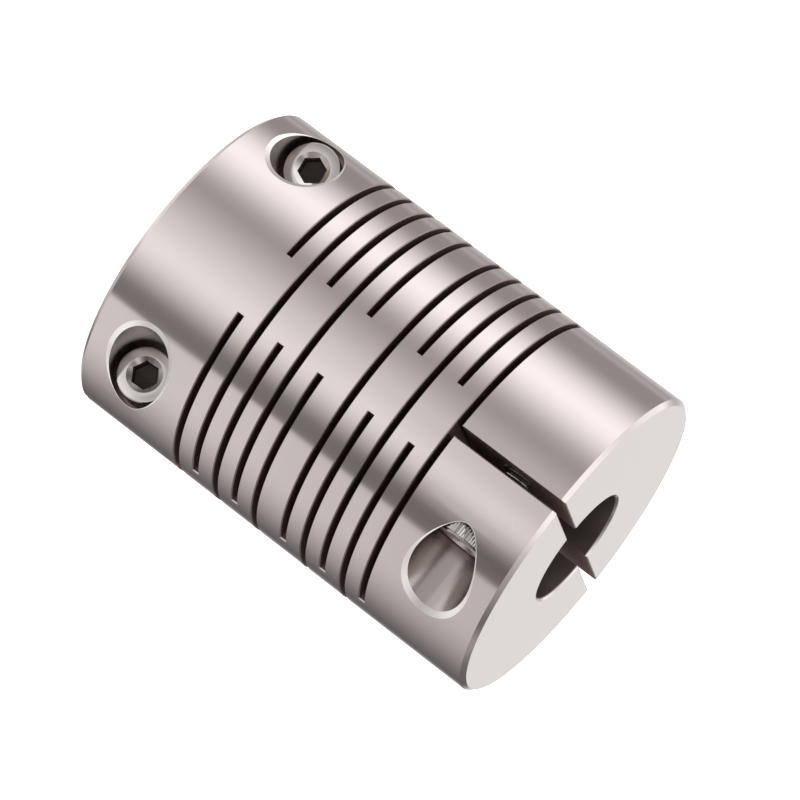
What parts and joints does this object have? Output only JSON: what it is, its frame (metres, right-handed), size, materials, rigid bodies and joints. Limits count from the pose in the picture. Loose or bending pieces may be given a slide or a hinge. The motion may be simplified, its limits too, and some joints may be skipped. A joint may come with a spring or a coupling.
{
  "type": "parallel-slit clamp coupling",
  "caption": "Cylindrical one-piece shaft coupling with parallel beam slits between two clamping hubs, each closed on its shaft by socket-head screws in counterbores.",
  "frame": {"origin": "centre of the lower hub's end face, on the shaft axis", "axes": "+Z along the shaft axis from the lower hub to the upper hub; -Y is the front, where the lower hub's screw heads are; the upper hub's screw heads are at +X"},
  "size_m": [0.034, 0.034, 0.0474],
  "materials": {
    "body_steel": "bright turned stainless steel",
    "screw_steel": "bright stainless steel"
  },
  "bodies": {
    "root": {"coupling_body": "body_steel", "screw_lower_left": "screw_steel", "screw_lower_right": "screw_steel", "screw_upper_front": "screw_steel", "screw_upper_back": "screw_steel"}
  },
  "joints": []
}
